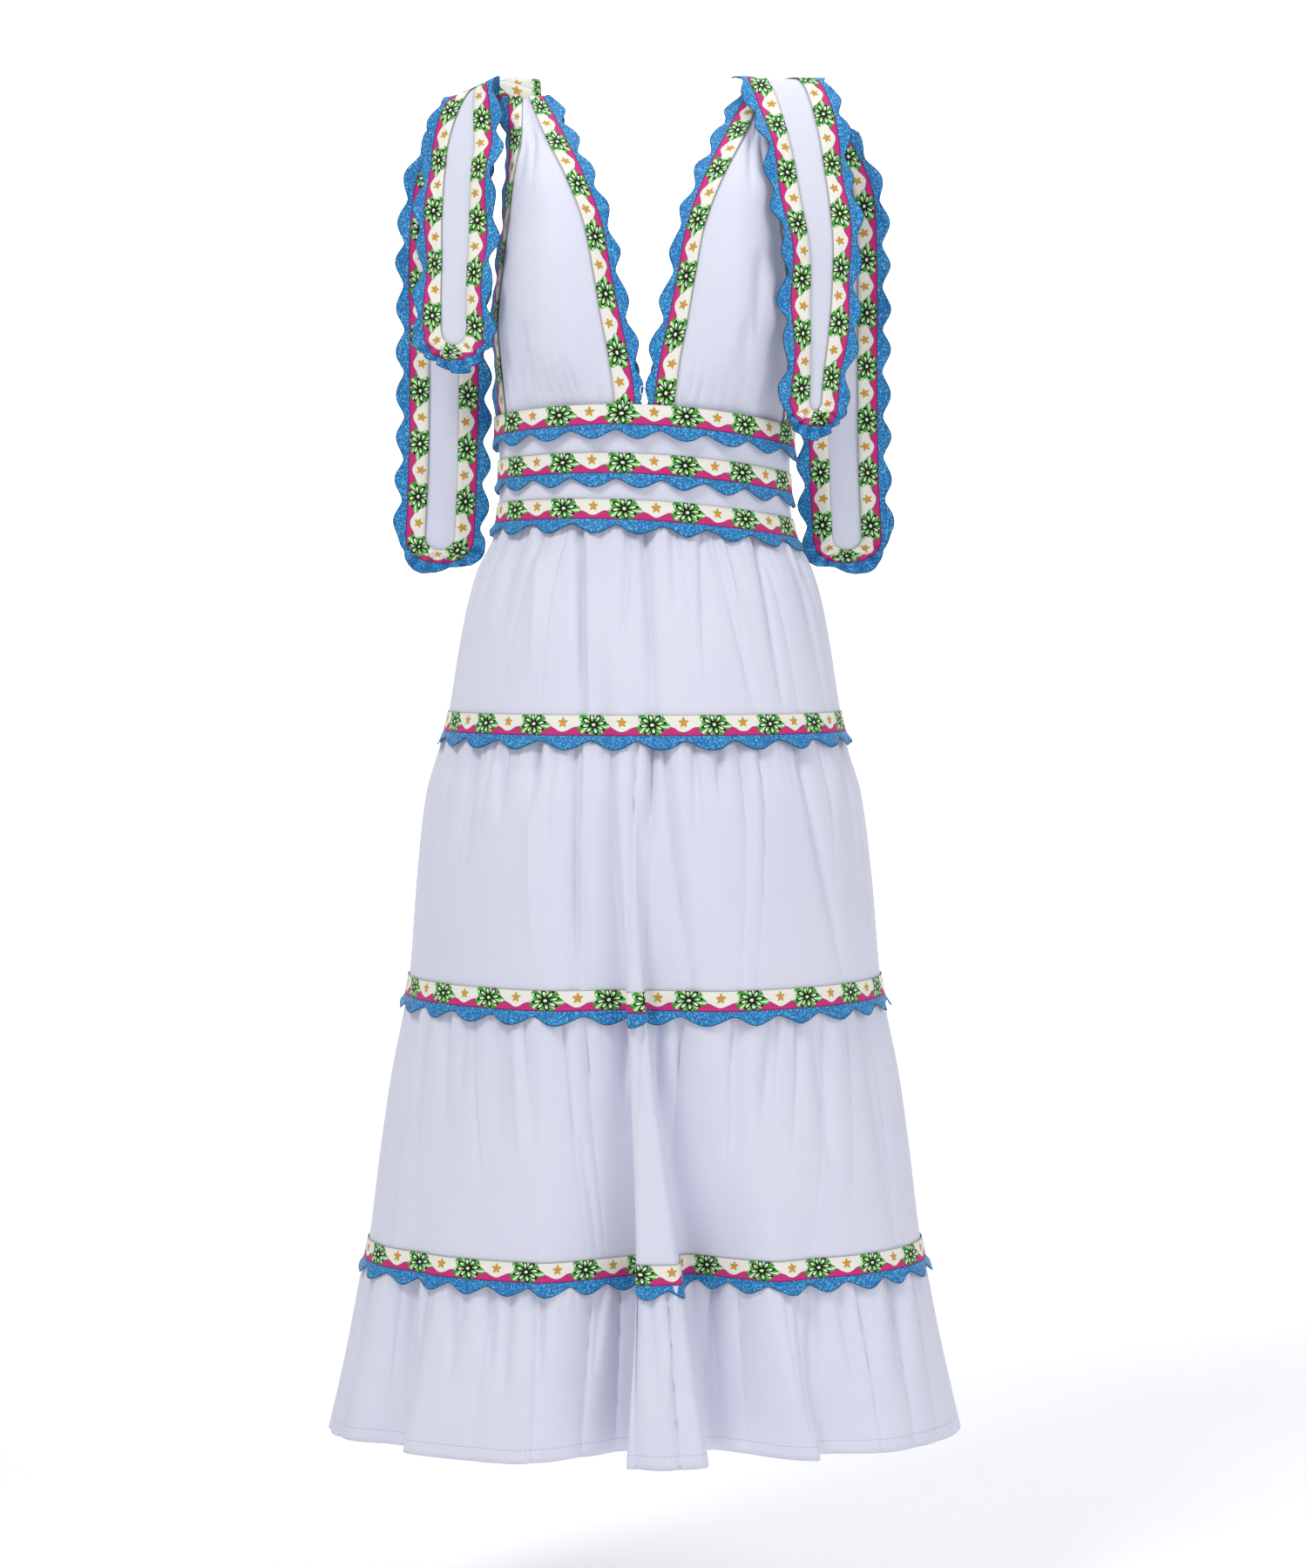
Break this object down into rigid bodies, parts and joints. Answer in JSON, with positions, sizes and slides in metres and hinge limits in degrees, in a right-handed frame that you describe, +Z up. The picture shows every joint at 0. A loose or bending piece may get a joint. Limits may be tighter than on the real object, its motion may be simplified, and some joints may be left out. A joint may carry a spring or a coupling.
{
  "type": "midi dress",
  "caption": "Sleeveless white cotton midi dress with a deep V neck, tied shoulders, a banded waist, gathered tiers and scalloped floral border trims, filled out as worn.",
  "frame": {"origin": "between the two shoulders, at the height where they carry the dress", "axes": "+Z up along the dress from hem to shoulders, -Y towards the front, +X towards the right of the picture"},
  "size_m": [0.585, 0.3642, 1.2394],
  "materials": {
    "white_cotton": "matt woven cotton",
    "border_trim": "printed ribbon with a speckled scalloped edging"
  },
  "bodies": {
    "root": {"armhole_trim_back_left": "border_trim", "armhole_trim_back_right": "border_trim", "armhole_trim_front_left": "border_trim", "armhole_trim_front_right": "border_trim", "bodice_back_left": "white_cotton", "bodice_back_right": "white_cotton", "bodice_front_left": "white_cotton", "bodice_front_right": "white_cotton", "midriff_back": "white_cotton", "midriff_front": "white_cotton", "neck_trim_back_left": "border_trim", "neck_trim_back_right": "border_trim", "neck_trim_front_left": "border_trim", "neck_trim_front_right": "border_trim", "shoulder_knot_left": "border_trim", "shoulder_knot_right": "border_trim", "skirt_tier_1_back": "white_cotton", "skirt_tier_1_front": "white_cotton", "skirt_tier_2_back": "white_cotton", "skirt_tier_2_front": "white_cotton", "skirt_tier_3_back": "white_cotton", "skirt_tier_3_front": "white_cotton", "skirt_tier_4_back": "white_cotton", "skirt_tier_4_front": "white_cotton", "skirt_trim_1": "border_trim", "skirt_trim_2": "border_trim", "skirt_trim_3": "border_trim", "tie_back_left_panel": "white_cotton", "tie_back_left_trim": "border_trim", "tie_back_right_panel": "white_cotton", "tie_back_right_trim": "border_trim", "tie_front_left_panel": "white_cotton", "tie_front_left_trim": "border_trim", "tie_front_right_panel": "white_cotton", "tie_front_right_trim": "border_trim", "waist_trim_1": "border_trim", "waist_trim_2": "border_trim", "waist_trim_3": "border_trim"}
  },
  "joints": []
}
